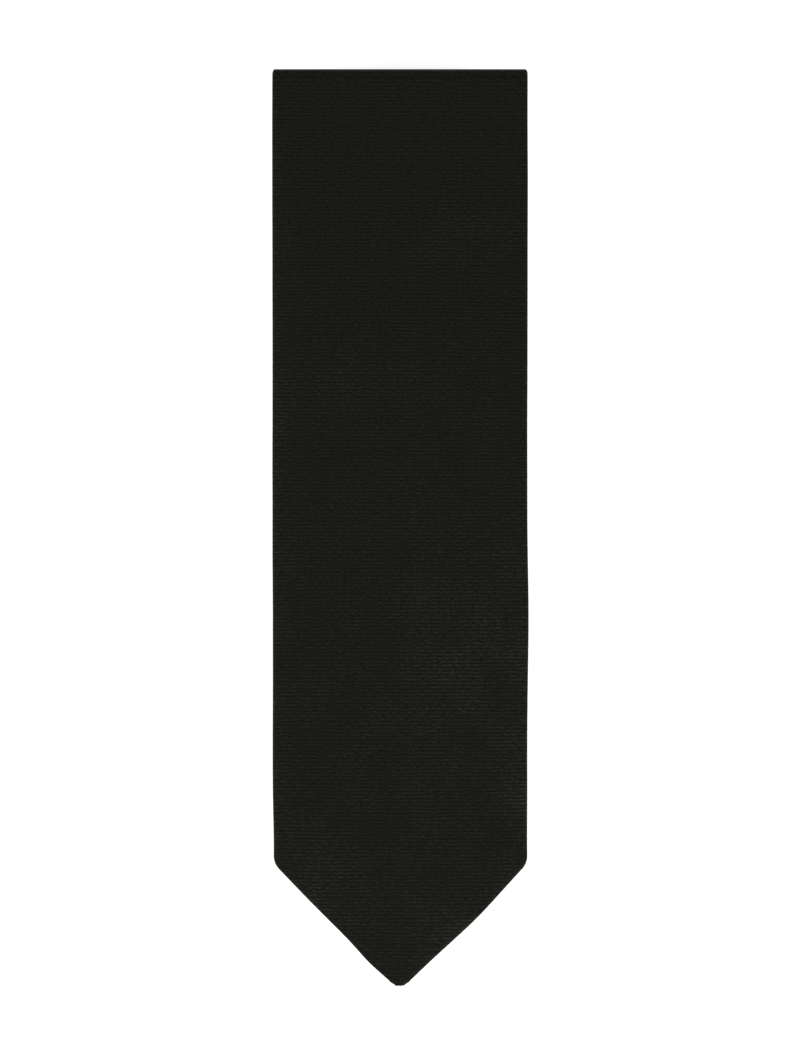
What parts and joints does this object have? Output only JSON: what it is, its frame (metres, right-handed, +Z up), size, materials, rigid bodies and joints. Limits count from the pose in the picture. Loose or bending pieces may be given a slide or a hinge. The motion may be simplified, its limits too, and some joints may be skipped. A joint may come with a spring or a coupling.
{
  "type": "necktie",
  "caption": "Necktie folded flat with its pointed front blade uppermost: shell, interlining, tipping, keeper loop and labels, with folds that hinge open to its full length.",
  "frame": {"origin": "bottom centre of the folded tie, on the surface it lies on", "axes": "+X across the tie, +Y along it from the front blade's point towards the first fold, +Z up from the surface, out of the front blade's face"},
  "size_m": [0.08, 0.2874, 0.0214],
  "materials": {
    "shell_cloth": "matte",
    "interlining_wool": "matte",
    "lining_satin": "satin",
    "thread": "satin",
    "label_black": "satin",
    "label_white": "satin"
  },
  "bodies": {
    "lap_1": {"front_shell_lap1": "shell_cloth", "interlining_lap1": "interlining_wool", "slip_stitch_lap1": "thread", "front_tipping": "lining_satin", "front_bar_tack": "thread", "keeper_loop": "shell_cloth", "keeper_tacks": "thread", "maker_label": "label_black", "care_label": "label_white"},
    "lap_2": {"front_shell_lap2": "shell_cloth", "interlining_lap2": "interlining_wool", "slip_stitch_lap2": "thread", "shell_fold_a": "shell_cloth", "interlining_fold_a": "interlining_wool"},
    "lap_3": {"front_shell_lap3": "shell_cloth", "neck_shell_lap3": "shell_cloth", "interlining_lap3": "interlining_wool", "slip_stitch_lap3": "thread", "front_neck_seam": "thread", "shell_fold_b": "shell_cloth", "interlining_fold_b": "interlining_wool"},
    "lap_4": {"neck_shell_lap4": "shell_cloth", "interlining_lap4": "interlining_wool", "slip_stitch_lap4": "thread", "shell_fold_c": "shell_cloth", "interlining_fold_c": "interlining_wool"},
    "lap_5": {"neck_shell_lap5": "shell_cloth", "tail_shell_lap5": "shell_cloth", "interlining_lap5": "interlining_wool", "slip_stitch_lap5": "thread", "neck_tail_seam": "thread", "shell_fold_d": "shell_cloth", "interlining_fold_d": "interlining_wool"},
    "lap_6": {"tail_shell_lap6": "shell_cloth", "interlining_lap6": "interlining_wool", "slip_stitch_lap6": "thread", "tail_tipping": "lining_satin", "tail_bar_tack": "thread", "shell_fold_e": "shell_cloth", "interlining_fold_e": "interlining_wool"}
  },
  "joints": [
    {"name": "front_fold", "type": "hinge", "parent": "lap_2", "child": "lap_1", "pos_m": [0, 0.13985, 0.0175], "axis": [-1, 0, 0], "range_deg": [0, 180], "deforming": ["shell_fold_a", "interlining_fold_a"]},
    {"name": "fold_b", "type": "hinge", "parent": "lap_3", "child": "lap_2", "pos_m": [0, -0.10532, 0.0132], "axis": [1, 0, 0], "range_deg": [0, 180], "deforming": ["shell_fold_b", "interlining_fold_b"]},
    {"name": "fold_c", "type": "hinge", "parent": "lap_4", "child": "lap_3", "pos_m": [0, 0.13865, 0.0098], "axis": [-1, 0, 0], "range_deg": [0, 180], "deforming": ["shell_fold_c", "interlining_fold_c"]},
    {"name": "fold_d", "type": "hinge", "parent": "lap_5", "child": "lap_4", "pos_m": [0, -0.10532, 0.0064], "axis": [1, 0, 0], "range_deg": [0, 180], "deforming": ["shell_fold_d", "interlining_fold_d"]},
    {"name": "unfold", "type": "hinge", "parent": "lap_6", "child": "lap_5", "pos_m": [0, 0.13865, 0.003], "axis": [-1, 0, 0], "range_deg": [0, 180], "deforming": ["shell_fold_e", "interlining_fold_e"]}
  ],
  "couplings": [
    {"joint": "fold_b", "follows": "unfold", "ratio": 1},
    {"joint": "fold_c", "follows": "unfold", "ratio": 1},
    {"joint": "fold_d", "follows": "unfold", "ratio": 1}
  ]
}
